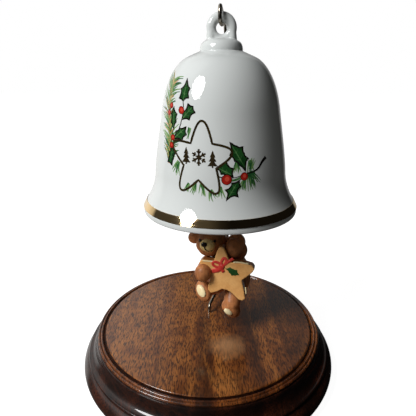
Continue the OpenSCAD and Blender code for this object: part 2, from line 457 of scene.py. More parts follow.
def walnut(name, tones, gloss, figure=1.0, painted_highlight=0.0):
    """Varnished dark walnut cut along Y: tone bands, paler streaks, cross-grain shimmer and dense pores.

    tones are the dark, middle and pale wood and the pores. gloss is the varnish's roughness. figure is the
    strength of the shimmer, and the last argument is how strong a painted highlight is: a pale spot in the
    colour around the middle given above, standing for a reflection in the varnish.
    """
    s = Shader(name, Coat_Weight=1.0, Coat_Roughness=gloss, Coat_IOR=1.45, Specular_IOR_Level=0.2)
    bands = s.noise(1, 4, 0.55, where=s.stretch((90, 8, 90), (0, 0, 8)), distortion=0.9)
    fibre = s.noise(1, 5, 0.7, where=s.stretch((900, 70, 900), (0, 0, 6)))
    shimmer = s.noise(1, 3, 0.5, where=s.stretch((140, 260, 140), (0, 0, 25)))
    pores = s.noise(1, 2, 0.6, where=s.stretch((3000, 480, 3000), (0, 0, 6)))
    tone = s.mix(0.22, bands, fibre)
    tone = s.mix(0.2 * figure, tone, shimmer)
    wood = s.ramp(tone, (0.40, tones[0]), (0.50, tones[1]), (0.61, tones[2]))
    streak = s.ramp(s.noise(1, 2, 0.5, where=s.stretch((46, 7, 46), (0, 0, -14)), distortion=2.2),
                    (0.45, 0.0), (0.52, 0.45), (0.60, 0.0))
    wood = s.mix(streak, wood, tones[2])
    dash = s.ramp(pores, (0.42, 0.85), (0.52, 0.0))
    wood = s.mix(dash, wood, tones[3])
    # Painted highlight: a soft pale spot mixed into the wood's colour where a reflection in the varnish would
    # be
    if painted_highlight:
        off = s.math("ADD", s.distance(PAINTED_HIGHLIGHT_AT), s.math("MULTIPLY", s.noise(260, 3), 3.0))
        cloud = s.ramp(s.math("DIVIDE", off, 10.0), (0.3, painted_highlight), (0.85, 0.0))
        wood = s.mix(cloud, wood, (0.52, 0.28, 0.13))
    s.colour(wood)
    s.roughness(s.ramp(fibre, (0.3, 0.35), (0.7, 0.55)))
    s.bump(s.mix(0.35, pores, fibre), 0.22, 0.05)
    return s.material


def felt():
    """Short green pressed wool."""
    s = Shader("green_felt", Sheen_Weight=0.6, Sheen_Roughness=0.5)
    fuzz = s.noise(2600, 4, 0.7)
    s.colour(s.ramp(fuzz, (0.3, (0.010, 0.035, 0.016)), (0.7, (0.035, 0.10, 0.05))))
    s.roughness(s.ramp(fuzz, (0.3, 0.85), (0.7, 1.0)))
    s.bump(fuzz, 0.8, 0.15)
    return s.material


def metal(name, dark, light, smooth, dull):
    """Drawn wire: lengthwise drawing lines and spots of tarnish."""
    s = Shader(name, Metallic=1.0)
    lines = s.noise(1, 3, where=s.stretch((4000, 4000, 250)))
    spots = s.noise(700, 4, 0.6)
    s.colour(s.ramp(spots, (0.35, dark), (0.65, light)))
    s.roughness(s.ramp(s.mix(0.5, lines, spots), (0.35, smooth), (0.7, dull)))
    s.bump(lines, 0.15, 0.01)
    return s.material


PORCELAIN = porcelain()
GOLD = gilding()
INK_DARK = print_ink("ink_outline", (0.004, 0.004, 0.003), (0.014, 0.012, 0.008))
INK_LINE = print_ink("ink_star_line", (0.010, 0.007, 0.003), (0.05, 0.034, 0.010), 250)
INK_LEAF = print_ink("ink_leaf", (0.004, 0.034, 0.007), (0.018, 0.092, 0.020))
INK_RIB = print_ink("ink_midrib", (0.03, 0.11, 0.03), (0.12, 0.26, 0.09))
INK_NEEDLE = print_ink("ink_needle", (0.07, 0.20, 0.05), (0.22, 0.36, 0.13))
INK_SHADE = print_ink("ink_needle_dark", (0.010, 0.07, 0.018), (0.04, 0.16, 0.05))
INK_TWIG = print_ink("ink_twig", (0.42, 0.22, 0.07), (0.70, 0.44, 0.20))
INK_BERRY = print_ink("ink_berry", (0.26, 0.008, 0.006), (0.45, 0.022, 0.012))
INK_GLOW = print_ink("ink_berry_light", (0.50, 0.035, 0.02), (0.62, 0.09, 0.05))
WALNUT_TOP = walnut("walnut_disc", ((0.070, 0.020, 0.005), (0.20, 0.060, 0.013), (0.46, 0.17, 0.038),
                                    (0.026, 0.008, 0.003)), 0.12, painted_highlight=0.6)
WALNUT_BEAD = walnut("walnut_bead", ((0.04, 0.010, 0.003), (0.14, 0.036, 0.007), (0.30, 0.090, 0.018),
                                     (0.012, 0.005, 0.002)), 0.08, 0.6)
WALNUT_EDGE = walnut("walnut_moulding", ((0.007, 0.002, 0.001), (0.016, 0.0042, 0.0017), (0.06, 0.014, 0.005),
                                         (0.004, 0.0014, 0.001)), 0.06, 0.6)
FELT = felt()
HANGER = metal("tarnished_nickel_wire", (0.15, 0.12, 0.09), (0.44, 0.40, 0.33), 0.16, 0.34)
BRIGHT = metal("bright_wire", (0.55, 0.50, 0.42), (0.80, 0.76, 0.68), 0.12, 0.30)
FUR = painted("bear_brown", (0.21, 0.070, 0.022), (0.62, 0.245, 0.090), (0.42, 0.58), gloss=0.1)
MUZZLE = painted("bear_muzzle", (0.52, 0.34, 0.10), (0.98, 0.76, 0.34))
COOKIE = biscuit()
CREAM = painted("cream", (0.84, 0.67, 0.35), (1.0, 0.87, 0.55))
BLACK = painted("black_gloss", (0.006, 0.005, 0.004), (0.02, 0.016, 0.013), (0.12, 0.22))
RED = painted("ribbon_red", (0.46, 0.018, 0.014), (0.80, 0.075, 0.055))
GREEN = painted("leaf_green", (0.008, 0.05, 0.010), (0.03, 0.12, 0.025))


# ---------------------------------------------------------------- bell
LIP_OUT = (RIM_R - 0.15, 1.5)
BAND_TOP = (RIM_R - 1.28, 3.6)
WAIST = (20.6, 12)
BREAST = (17.85, 31.2)
SHOULDER = (10.7, 45.5)
COLLAR_FOOT = (6.25, 47.5)
COLLAR_TOP_Z = 50.2
WALL = 2.0
LIP_R = 0.6
LIP_DROP = -0.4
GILT_T = 0.12
GILT_SUNK = 0.05

BAND = bezier(LIP_OUT, (RIM_R - 0.54, 2.25), (RIM_R - 0.92, 3), BAND_TOP, 8)
FLARE = bezier(BAND_TOP, (RIM_R - 2.1, 4.9), (21.0, 8), WAIST, 24)
SIDE = bezier(WAIST, (20.2, 17.9), (18.7, 25.5), BREAST, 30)
DOME = bezier(BREAST, (17, 37), (14.6, 43.2), SHOULDER, 34)
CROWN = bezier(SHOULDER, (9.4, 46.2), (7.2, 47), COLLAR_FOOT, 12)
OUTER = BAND + FLARE + SIDE + DOME + CROWN + [COLLAR_FOOT]


def bell_radius(height):
    """Outer radius of the bell at a height above the rim."""
    for (r0, z0), (r1, z1) in zip(OUTER, OUTER[1:]):
        if height <= z1:
            return r0 + (r1 - r0) * (height - z0) / (z1 - z0)
    return OUTER[-1][0]


def make_bell():
    """The turned porcelain wall with its rolled lip, and the gilding that lies on it."""
    lip_z = LIP_DROP + LIP_R
    lip = arc((RIM_R - 1.6, lip_z), (LIP_R, LIP_R), 180, 270, 8)
    lip += arc((LIP_OUT[0] - LIP_R - 0.02, lip_z), (LIP_R, LIP_R), 270, 360, 8)
    inner_breast = (BREAST[0] - WALL + 0.05, 31)
    inner_waist = (WAIST[0] - WALL, WAIST[1])
    inner = bezier((0, 43.4), (9.4, 43.4), (15.3, 39.4), inner_breast, 20)
    inner += bezier(inner_breast, (16.7, 25.5), (18.2, 17.9), inner_waist, 16)
    inner += bezier(inner_waist, (18.95, 8), (RIM_R - 3.6, 4.9), (RIM_R - 2.2, 1.6), 14)
    outline = OUTER + [(0, COLLAR_FOOT[1])] + inner + lip
    finish_piece("bell_body", lathe(outline, BELL_SIDES), PORCELAIN, "bell", AT_BELL,
                 nodes=["bell_shell"], sharp=50)
    gilt = [(r + GILT_T, z + 0.3 * GILT_T) for r, z in BAND + [BAND_TOP]]
    gilt += [(r - GILT_SUNK, z) for r, z in reversed(BAND + [BAND_TOP])]
    finish_piece("gilt_ring", lathe(gilt, BELL_SIDES), GOLD, "bell", AT_BELL,
                 nodes=["gilt_band"], sharp=60)


def make_crown():
    """The stepped collar and the round carrying lug, run together by the glaze."""
    lug_z = 53.65
    lug_mid = 2.98
    lug_r = 1.42
    collar = [(0, COLLAR_FOOT[1] - 0.8), (COLLAR_FOOT[0], COLLAR_FOOT[1] - 0.8), COLLAR_FOOT]
    step = (5.3, 50.0)
    collar += bezier(COLLAR_FOOT, (6.35, 48.2), (6.15, 49.5), step, 12)
    collar += bezier(step, (4.7, 50.35), (4.2, 50.6), (3.4, 50.8), 6) + [(0, 51)]
    legs = [sweep([(x, 0, COLLAR_TOP_Z - 1), (x, 0, lug_z)], [1.7, 1.15]) for x in (-lug_mid, lug_mid)]
    legs.append(ball((0, 0, COLLAR_TOP_Z + 0.2), (3.2, 1.5, 1.3)))
    solid = join(lathe(collar, 128), ring((0, 0, lug_z), "XZ", lug_mid, lug_r, (1, 0.84, 1)), *legs)
    skin = moulded(solid, 0.16, 6)
    finish_piece("crown_and_lug", skin, PORCELAIN, "bell", AT_BELL, nodes=["bell_shell"])


# ---------------------------------------------------------------- printed decoration
class Print:
    """Flat shapes in one ink, laid on the outside of the bell.

    A shape is drawn unrolled: across is the distance round the bell from its front line,
    and up is the height above the rim. lift is how proud the ink stands.
    """

    SUNK = -0.04

    def __init__(self):
        self.bm = bmesh.new()

    @staticmethod
    def on_bell(across, up, lift):
        r = bell_radius(up)
        angle = across / r
        slope = (bell_radius(up + 0.3) - bell_radius(up - 0.3)) / 0.6
        tilt = math.atan(-slope)
        out = r + lift * math.cos(tilt)
        return Vector((out * math.sin(angle), -out * math.cos(angle), up + lift * math.sin(tilt)))

    def plate(self, points, faces, lift):
        """A thin closed solid from a flat mesh: its face, its underside in the glaze, and its rim."""
        top = [self.bm.verts.new(self.on_bell(x, y, lift)) for x, y in points]
        low = [self.bm.verts.new(self.on_bell(x, y, self.SUNK)) for x, y in points]
        for face in faces:
            self.bm.faces.new([top[i] for i in face])
            self.bm.faces.new([low[i] for i in reversed(face)])
        edges = dict.fromkeys((a, b) for face in faces for a, b in zip(face, face[1:] + face[:1]))
        for a, b in edges:
            if (b, a) not in edges:
                self.bm.faces.new((top[b], top[a], low[a], low[b]))

    def fill(self, outline, lift, cell=0.6):
        """A filled outline, cut fine enough to follow the bell."""
        rim = []
        for (x0, y0), (x1, y1) in zip(outline, outline[1:] + outline[:1]):
            count = max(1, round(math.hypot(x1 - x0, y1 - y0) / cell))
            rim += [Vector((x0 + (x1 - x0) * i / count, y0 + (y1 - y0) * i / count)) for i in range(count)]
        low_x, high_x = min(p.x for p in rim), max(p.x for p in rim)
        low_y, high_y = min(p.y for p in rim), max(p.y for p in rim)
        inside = []
        for i in range(int((high_x - low_x) / cell) + 1):
            for j in range(int((high_y - low_y) / cell) + 1):
                inside.append(Vector((low_x + (i + 0.5) * cell, low_y + (j + 0.5) * cell)))
        edges = [(i, (i + 1) % len(rim)) for i in range(len(rim))]
        points, _, faces, *_ = delaunay_2d_cdt(rim + inside, edges, [list(range(len(rim)))], 1, 1e-5)
        used = sorted({i for face in faces for i in face})
        index = {old: new for new, old in enumerate(used)}
        faces = [[index[i] for i in face] for face in faces]
        self.plate([points[i] for i in used], faces, lift)

    def line(self, path, width, lift, closed=False):
        """A stroke along path. width is one number, or one at each point."""
        path = [Vector(p) for p in path]
        count = len(path)
        widths = width if hasattr(width, "__len__") else [width] * count
        points = []
        for i, (point, w) in enumerate(zip(path, widths)):
            before = path[i - 1] if closed or i else point
            after = path[(i + 1) % count] if closed or i < count - 1 else point
            along = (after - before).normalized()
            side = Vector((-along.y, along.x)) * w / 2
            points += [point - side, point + side]
        spans = range(count if closed else count - 1)
        faces = []
        for i in spans:
            j = (i + 1) % count
            faces.append([2 * i, 2 * j, 2 * j + 1, 2 * i + 1])
        self.plate(points, faces, lift)

    def spot(self, centre, size, lift):
        self.fill([(centre[0] + size[0] * math.cos(a), centre[1] + size[1] * math.sin(a))
                   for a in [2 * math.pi * k / 20 for k in range(20)]], lift, 0.5)

    def finish(self, name, ink):
        bmesh.ops.recalc_face_normals(self.bm, faces=self.bm.faces)
        finish_piece(name, self.bm, ink, "bell", AT_BELL, sharp=50)


def scalloped(spines):
    """A holly leaf's edge: the spines given, with hollow arcs between them."""
    depth = 0.17
    steps = 5
    middle = Vector((sum(p[0] for p in spines), sum(p[1] for p in spines))) / len(spines)
    outline = []
    for a, b in zip(spines, spines[1:] + spines[:1]):
        a, b = Vector(a), Vector(b)
        inward = (middle - (a + b) / 2).normalized()
        for i in range(steps):
            t = i / steps
            outline.append(tuple(a.lerp(b, t) + inward * math.sin(math.pi * t) * depth * (b - a).length))
    return outline


# Each leaf, unrolled: its spines, its tip and its stalk's end
LEAVES = {
    "upper": ([(-10.1, 39.9), (-9.2, 37.4), (-9.5, 35.0), (-11.4, 34.1), (-12.9, 34.8), (-12.2, 37.3)],
              (-10.3, 38.9), (-11.4, 34.2)),
    "inner": ([(-11.9, 29.3), (-11.6, 31.2), (-9.7, 33.6), (-8.2, 32.9), (-7.5, 31.4), (-9.3, 29.4)],
              (-8.5, 32.6), (-11.6, 29.6)),
    "slim": ([(-15.0, 32.6), (-13.6, 30.7), (-13.9, 28.6), (-15.0, 26.6), (-16.3, 28.4), (-16.2, 30.8)],
             (-15.0, 31.9), (-15.0, 27.2)),
    "middle": ([(-15.4, 23.8), (-14.0, 26.2), (-12.6, 27.1), (-10.3, 27.6), (-10.3, 25.5), (-11.7, 23.8)],
               (-10.9, 27.0), (-14.9, 24.1)),
    "lower": ([(-13.7, 20.7), (-14.9, 18.7), (-15.5, 16.7), (-17.6, 17.5), (-16.9, 20.2), (-15.6, 22.0)],
              (-15.4, 21.4), (-16.2, 17.6)),
    "right": ([(1.9, 24.0), (3.6, 22.9), (5.4, 22.7), (5.8, 20.9), (7.1, 19.5), (6.3, 18.0), (6.4, 16.1),
               (4.6, 17.8), (3.2, 19.0), (1.9, 20.6)], (2.5, 22.9), (6.0, 17.4)),
    "corner": ([(-1.6, 17.2), (0.0, 18.3), (0.9, 19.2), (1.6, 17.7), (3.1, 17.0), (2.6, 15.9), (2.9, 14.7),
                (1.2, 15.1), (-0.4, 15.6)], (-1.0, 17.1), (2.4, 15.4)),
    "bottom": ([(2.6, 13.2), (4.6, 13.8), (5.0, 12.2), (4.2, 11.1), (4.3, 9.3), (2.7, 9.6), (1.0, 8.5),
                (1.5, 10.2), (0.7, 11.3), (2.1, 12.0)], (3.9, 13.0), (1.6, 9.2)),
}
# Middle and radius of each berry
BERRIES = [((-16.2, 32.9), 0.75), ((-17.2, 31.0), 0.75), ((-12.0, 31.8), 0.95), ((-15.3, 24.4), 0.8),
           ((-15.8, 22.3), 0.8), ((1.1, 14.1), 1.3), ((6.0, 14.8), 1.0)]
# The printed star's round tips and the sharp corners between them, unrolled
STAR_TIPS = [(-5.6, 29.3), (2.5, 21.4), (-1.4, 10.4), (-12.1, 10.6), (-14.9, 23.0)]
STAR_CORNERS = [(-2.8, 23.5), (-1.7, 17.1), (-6.6, 13.8), (-11.1, 17.4), (-8.9, 23.4)]


def make_leaves():
    body, edge, rib = Print(), Print(), Print()
    for spines, tip, stalk in LEAVES.values():
        outline = scalloped(spines)
        body.fill(outline, 0.020)
        edge.line(outline, 0.42, 0.028, closed=True)
        middle = [Vector(tip).lerp(Vector(stalk), t / 6) for t in range(7)]
        rib.line(middle, [0.05, 0.16, 0.22, 0.24, 0.22, 0.16, 0.08], 0.030)
        for k in (2, 4):
            for side in (-1, 1):
                along = (Vector(stalk) - Vector(tip)).normalized()
                away = Vector((-along.y, along.x)) * side
                end = middle[k] - along * 0.7 + away * 0.8
                rib.line([middle[k], end], [0.14, 0.04], 0.029)
    body.finish("print_leaves", INK_LEAF)
    edge.finish("print_leaf_edges", INK_DARK)
    rib.finish("print_leaf_ribs", INK_RIB)


def make_berries():
    rim, body, glow = Print(), Print(), Print()
    for (x, y), r in BERRIES:
        rim.spot((x, y), (r * 1.12, r * 1.12), 0.032)
        body.spot((x, y), (r, r), 0.038)
        glow.spot((x + 0.1 * r, y + 0.12 * r), (0.5 * r, 0.5 * r), 0.044)
    rim.finish("print_berry_edges", INK_DARK)
    body.finish("print_berries", INK_BERRY)
    glow.finish("print_berry_lights", INK_GLOW)


def star_path():
    """The hand-drawn star: sharp inner corners, round tips, sides that swell a little."""
    centre = sum((Vector(t) for t in STAR_TIPS), Vector((0, 0))) / len(STAR_TIPS)
    tip_round = 1.25
    swell = 0.75
    path = []
    for i, tip in enumerate(STAR_TIPS):
        start, end, tip = Vector(STAR_CORNERS[i - 1]), Vector(STAR_CORNERS[i]), Vector(tip)
        out = (tip - centre).normalized()
        across = Vector((out.y, -out.x))
        rise = [start, start.lerp(tip, 0.55) - across * swell, tip - across * tip_round, tip]
        fall = [tip, tip + across * tip_round, end.lerp(tip, 0.55) + across * swell, end]
        path += bezier(*rise, 14) + bezier(*fall, 14)
    return path


def snowflake(ink, centre, size, width, lift):
    """Six plain arms with a pair of barbs each."""
    centre = Vector(centre)
    for k in range(6):
        a = math.radians(90 + 60 * k)
        arm = Vector((math.cos(a), math.sin(a)))
        ink.line([centre - arm * 0.1, centre + arm * size], [width, width * 0.85], lift)
        root = centre + arm * size * 0.52
        for turn in (-50, 50):
            b = a + math.radians(turn)
            ink.line([root, root + Vector((math.cos(b), math.sin(b))) * size * 0.36],
                     [width * 0.8, width * 0.6], lift + 0.002)


def fir_tree(ink, centre, tall, wide, lift):
    """A plain three-tiered tree on a short trunk."""
    x, y = centre
    foot = y - tall / 2
    tiers = [(0.10, 0.50, 1.0), (0.36, 0.76, 0.78), (0.60, 1.0, 0.56)]
    for low, high, share in tiers:
        half = wide * share / 2
        eaves = foot + tall * low
        ink.fill([(x - half, eaves), (x + half, eaves), (x, foot + tall * high)], lift)
    ink.line([(x, foot), (x, foot + tall * 0.12)], 0.42, lift)


def make_star_print():
    line = Print()
    line.line(star_path(), 0.62, 0.034, closed=True)
    line.finish("print_star_line", INK_LINE)
    motif = Print()
    for x, y in ((-10.3, 20.1), (-2.7, 19.5)):
        fir_tree(motif, (x, y), 4.6, 2.7, 0.030)
    snowflake(motif, (-6.5, 19.8), 2.2, 0.58, 0.030)
    motif.finish("print_winter_motif", INK_LINE)


def needle(ink, start, heading, reach, width, bend, lift):
    """One tapered needle that follows the bell's curve. heading is in radians."""
    along = Vector((math.cos(heading), math.sin(heading)))
    across = Vector((-along.y, along.x))
    count = max(4, round(reach / 0.6))
    path = [start + along * reach * k / count + across * bend * math.sin(math.pi * k / count)
            for k in range(count + 1)]
    ink.line(path, [width * min(1, 1.25 - 0.95 * k / count) for k in range(count + 1)], lift)


def tuft(ink, root, heading, spread, count, length, width, rng, lift):
    """A fan of needles from root, about a heading in degrees."""
    for k in range(count):
        turn = math.radians(heading + spread * ((k + 0.5) / count - 0.5) + rng.uniform(-5, 5))
        sideways = Vector((-math.sin(turn), math.cos(turn))) * rng.uniform(-0.4, 0.4)
        needle(ink, Vector(root) + sideways, turn, length * rng.uniform(0.75, 1.1), width,
               rng.uniform(-0.12, 0.12), lift)


def branch(pale, dark, stem, length, rng, gap=0.42):
    """Needles on both sides of a fir twig, leaning towards its tip."""
    curve = smooth_path(stem, 12)
    travelled = 0
    for a, b in zip(curve, curve[1:]):
        travelled += (b - a).length
        if travelled < gap:
            continue
        travelled = 0
        heading = math.atan2((b - a).y, (b - a).x)
        for side in (-1, 1):
            lean = heading + side * math.radians(rng.uniform(38, 64))
            reach = length * rng.uniform(0.7, 1.1)
            ink = dark if rng.random() < 0.42 else pale
            needle(ink, a, lean, reach * (1 if side > 0 else 0.8), 0.5, -side * 0.3, 0.012)


# Thin stalks of the leaves and berries: points, steps between them, width and lift
STALKS = [
    ([(-11.4, 34.1), (-11.2, 32.6)], 3, 0.28, 0.02),
    ([(-11.9, 29.4), (-12.2, 28.2), (-12.7, 27.2)], 4, 0.3, 0.02),
    ([(-15.2, 26.6), (-15.5, 25), (-16.0, 22)], 4, 0.3, 0.018),
    ([(-1.4, 15.2), (-0.4, 14.7), (1.2, 14.4)], 4, 0.3, 0.018),
    ([(2.1, 14.5), (3.4, 14.6), (4.6, 14.9), (5.4, 15.2)], 4, 0.2, 0.022),
    ([(2.1, 13.2), (3.4, 13.3), (4.6, 13.8), (5.4, 14.2)], 4, 0.2, 0.022),
]
# Fans of fir needles: root, heading and spread in degrees, how many, and how long
TUFTS = [
    ((-9.2, 27.4), -100, 26, 4, 3.2), ((-12.8, 18.2), -118, 40, 6, 3.6), ((-9.4, 12.6), -112, 34, 5, 3.0),
    ((-7.6, 13.0), -106, 34, 5, 3.3), ((-5.6, 12.8), -82, 40, 6, 3.5), ((-3.3, 11.2), -74, 50, 6, 3.0),
    ((-0.6, 12.2), -84, 50, 6, 3.1), ((3.9, 18.6), -92, 70, 9, 2.7), ((7.5, 19.0), -82, 26, 4, 4.4),
    ((8.0, 15.6), -60, 40, 5, 3.2), ((6.0, 13.8), -100, 50, 7, 3.1), ((-13.4, 17.4), -100, 40, 5, 3.0),
    ((7.3, 15.4), -72, 60, 8, 4.4), ((7.8, 16.6), 82, 50, 6, 3.0),
]


def make_greenery():
    """The fir branch at the left, the tufts behind the star, and the stalks."""
    rng = random.Random(7)
    pale, dark, twig, stalk = Print(), Print(), Print(), Print()
    spine = [(-16.9, 17.2), (-16.4, 20.8), (-16.3, 23.6), (-17.0, 28.9), (-17.5, 31.5), (-17.2, 34.2),
             (-16.5, 36.9), (-15.7, 39.8)]
    twig.line(smooth_path(spine, 8), 0.75, 0.012)
    branch(pale, dark, spine, 5.6, rng, 0.46)
    branch(twig, pale, spine, 3.6, rng, 1.0)
    for root, heading, spread, count, length in TUFTS:
        tuft(pale, root, heading, spread, count, length, 0.42, rng, 0.012)
        tuft(dark, root, heading, spread * 0.8, max(2, count // 2), length * 0.85, 0.28, rng, 0.016)
    tuft(dark, (7.9, 16.0), -68, 60, 7, 4.2, 0.34, rng, 0.018)
    curve = smooth_path([(6.8, 15.6), (8.7, 15.9), (10.3, 16.7), (11.6, 18.3), (12.9, 19.4)], 6)
    stalk.line(curve, [0.45 + 0.5 * (i / (len(curve) - 1)) ** 2 for i in range(len(curve))], 0.020)
    for points, steps, width, lift in STALKS:
        stalk.line(smooth_path(points, steps), width, lift)
    pale.finish("print_needles", INK_NEEDLE)
    dark.finish("print_needle_shadows", INK_SHADE)
    twig.finish("print_fir_twig", INK_TWIG)
    stalk.finish("print_stalks", INK_DARK)
    link = Print()
    link.line(smooth_path([(1.9, 13.85), (3.4, 13.95), (5.4, 14.7)], 6), 0.62, 0.019)
    link.finish("print_berry_stem", INK_RIB)


# ---------------------------------------------------------------- bear and star
def turned_with_star(bm):
    """Turns a mesh drawn flat on the star as far as the star itself is turned to the left."""
    spin = Matrix.Rotation(math.radians(STAR_TURN), 3, "Z")
    bmesh.ops.rotate(bm, verts=bm.verts, cent=(*STAR_AXIS, 0), matrix=spin)
    return bm


def slab(outline, front, back):
    """A flat outline in X and Z given thickness along Y."""
    bm = bmesh.new()
    faces = [[bm.verts.new((x, y, z)) for x, z in outline] for y in (front, back)]
    bm.faces.new(faces[0])
    bm.faces.new(reversed(faces[1]))
    count = len(outline)
    for i in range(count):
        j = (i + 1) % count
        bm.faces.new((faces[0][j], faces[0][i], faces[1][i], faces[1][j]))
    bmesh.ops.recalc_face_normals(bm, faces=bm.faces)
    return bm


def figure_piece(name, parts, material, nodes=(), voxel=0.2, rounds=6):
    """A piece of the figure, melted together from parts."""
    skin = moulded(join(*parts), voxel, rounds)
    finish_piece(name, skin, material, "figure", AT_BELL, nodes, 60)


# The biscuit's outline by its tips and the hollows between them
STAR_OUTLINE = [
    (-0.7, -12.0), (0.1, -10.9), (1.2, -11.0), (2.0, -12.2), (3.4, -15.9),
    (8.6, -15.9), (10.6, -16.4), (11.4, -17.5), (10.6, -18.9), (7.4, -21.9),
    (8.4, -26.4), (8.7, -28.4), (8.0, -29.4), (6.6, -29.2), (4.4, -27.0), (2.6, -26.0), (1.0, -25.9),
    (-0.9, -27.1), (-2.7, -27.8), (-3.8, -27.2), (-3.7, -25.2), (-2.9, -21.6),
    (-5.2, -19.0), (-6.4, -17.6), (-6.6, -16.6), (-5.7, -15.9), (-1.9, -16.1),
]
# Cream icing along parts of the edge: each line's points, and its half width
ICING = [
    ([(-5.5, -16.15), (-3.6, -16.1), (-1.6, -16.15)], 0.24),
    ([(4.6, -15.7), (6.6, -15.55), (9.4, -15.75)], 0.26),
    ([(8.75, -24.2), (8.85, -25.4), (8.95, -26.6)], 0.22),
]


def make_star():
    biscuit = turned_with_star(slab(STAR_OUTLINE, STAR_FRONT, STAR_BACK))
    figure_piece("star_cookie", [biscuit], COOKIE, ["star_biscuit"], 0.16, 14)


# Turns of the left foot and of its sole in degrees, so that the sole looks up and to the left
FOOT_TURN = (-25, -33, -20)
SOLE_TURN = (-25, -48, -20)


def make_bear():
    torso = [ball((3.5, 0.2, -23.6), (7.0, 6.6, 6.9)), ball((3.0, -0.6, -17.0), (5.9, 5.4, 6.0)),
             ball((6.6, -2.4, -25.3), (4.2, 4.2, 5.6))]
    figure_piece("bear_body", torso, FUR, ["bear_torso"], 0.25, 8)
    head = [ball((-2.6, -1.6, -11.8), (5.0, 4.7, 5.0)), ball((-3.4, -3.6, -13.2), (3.9, 3.0, 3.2)),
            ball((-5.6, -3.4, -12.4), (2.3, 2.3, 2.6))]
    for x, z in ((-8.4, -11.0), (0.4, -7.0)):
        head += [ball((x, -0.6, z), (2.25, 1.1, 2.25))]
    figure_piece("bear_head_skin", head, FUR, ["bear_head"], 0.18, 5)
    upper = [ball((6.3, -3.6, -14.3), (3.0, 3.0, 3.2)), ball((5.6, -3.4, -11.4), (3.0, 2.8, 3.0)),
             ball((4.4, -6.4, -12.3), (2.65, 2.4, 3.4)), ball((5.2, -5.2, -12.4), (2.6, 2.6, 3.0))]
    figure_piece("bear_raised_arm", upper, FUR, ["bear_arm_right"], 0.2, 7)
    lower = [ball((-5.5, -8.4, -20.3), (2.8, 2.7, 3.15)),
             limb((-4.2, -4.0, -18.6), (-5.4, -7.6, -19.8), 2.3, 2.5)]
    figure_piece("bear_low_arm", lower, FUR, ["bear_arm_left"], 0.2, 7)
    left = [ball((-5.4, -6.7, -27.9), (2.8, 2.0, 3.8), FOOT_TURN),
            limb((-0.4, -3.0, -27.6), (-4.8, -5.6, -28.2), 2.9, 2.6)]
    figure_piece("bear_left_leg", left, FUR, ["bear_leg_left"], 0.2, 7)
    right = [limb((4.9, -3.6, -28.2), (4.3, -6.8, -32.2), 3.0, 2.9),
             ball((4.2, -6.9, -34.6), (2.7, 2.8, 3.7), (0, -32, 0)),
             ball((3.2, -7.2, -33.4), (2.5, 2.4, 2.4))]
    figure_piece("bear_right_leg", right, FUR, ["bear_leg_right"], 0.2, 16)


def make_face():
    muzzle = [ball((-4.1, -6.2, -11.4), (2.55, 2.1, 2.05)), ball((-3.6, -5.6, -12.6), (2.0, 1.6, 1.6))]
    figure_piece("bear_snout", muzzle, MUZZLE, voxel=0.14, rounds=5)
    nose = ball((-5.15, -8.1, -10.35), (0.95, 0.6, 0.85))
    figure_piece("bear_nose", [nose], BLACK, voxel=0.09, rounds=3)
    eyes = [ball((-6.5, -5.45, -10.0), (0.5, 0.45, 0.6)), ball((-1.7, -5.9, -10.1), (0.45, 0.42, 0.55))]
    figure_piece("bear_eyes", eyes, BLACK, voxel=0.08, rounds=3)
    smile = smooth_path([(-5.1, -8.3, -11.0), (-4.7, -8.15, -12.1), (-3.8, -7.6, -12.8),
                         (-2.8, -6.9, -12.9)], 6)
    mouth = [sweep(smile, 0.2, 10), ball((-2.85, -6.85, -12.95), (0.45, 0.4, 0.35))]
    figure_piece("bear_mouth", mouth, BLACK, voxel=0.07, rounds=2)


def make_figure_trim():
    """Soles, bow, holly leaf and icing, which are paint in low relief."""
    soles = [ball((-6.2, -8.0, -27.3), (1.55, 0.75, 2.3), SOLE_TURN),
             ball((2.9, -9.6, -34.3), (0.95, 0.7, 1.7), (0, -52, 0))]
    figure_piece("bear_soles", soles, CREAM, voxel=0.1, rounds=4)
    front = STAR_FRONT
    ribbons = [
        ([(0.9, -17.5), (-0.4, -16.3), (-1.9, -16.2), (-2.0, -17.3), (-0.7, -17.9), (0.9, -17.5)], 0.5),
        ([(0.9, -17.5), (0.7, -15.9), (1.5, -14.5), (2.3, -15.1), (1.9, -16.6), (0.9, -17.5)], 0.5),
        ([(0.9, -17.7), (-0.4, -18.9), (-2.4, -19.5)], 0.85),
        ([(0.8, -17.7), (1.0, -18.8), (1.5, -19.4)], 0.65),
        ([(1.1, -17.3), (2.4, -16.2), (3.7, -15.0), (4.6, -14.3)], 0.5),
    ]
    bow = [sweep(smooth_path([(x, front, z) for x, z in points], 6), width, 12, (1, 0.4, 1))
           for points, width in ribbons]
    bow.append(ball((0.9, front - 0.05, -17.6), (0.85, 0.45, 0.85)))
    bow = [turned_with_star(part) for part in bow]
    figure_piece("star_bow", bow, RED, voxel=0.1, rounds=3)
    spines = [(1.9, -18.0), (3.5, -17.4), (4.6, -18.0), (5.9, -18.2),
              (6.7, -20.0), (5.3, -20.3), (4.1, -20.6), (3.2, -19.5)]
    leaf = turned_with_star(slab(scalloped(spines), front - 0.2, front + 0.2))
    figure_piece("star_leaf", [leaf], GREEN, voxel=0.1, rounds=3)
    icing = [turned_with_star(sweep(smooth_path([(x, front + 0.1, z) for x, z in points], 6), width, 12))
             for points, width in ICING]
    figure_piece("star_edge_icing", icing, CREAM, voxel=0.08, rounds=2)


# ---------------------------------------------------------------- stand
# The base keeps this far in at its foot from its widest moulding
UNDER_INSET = 2.4


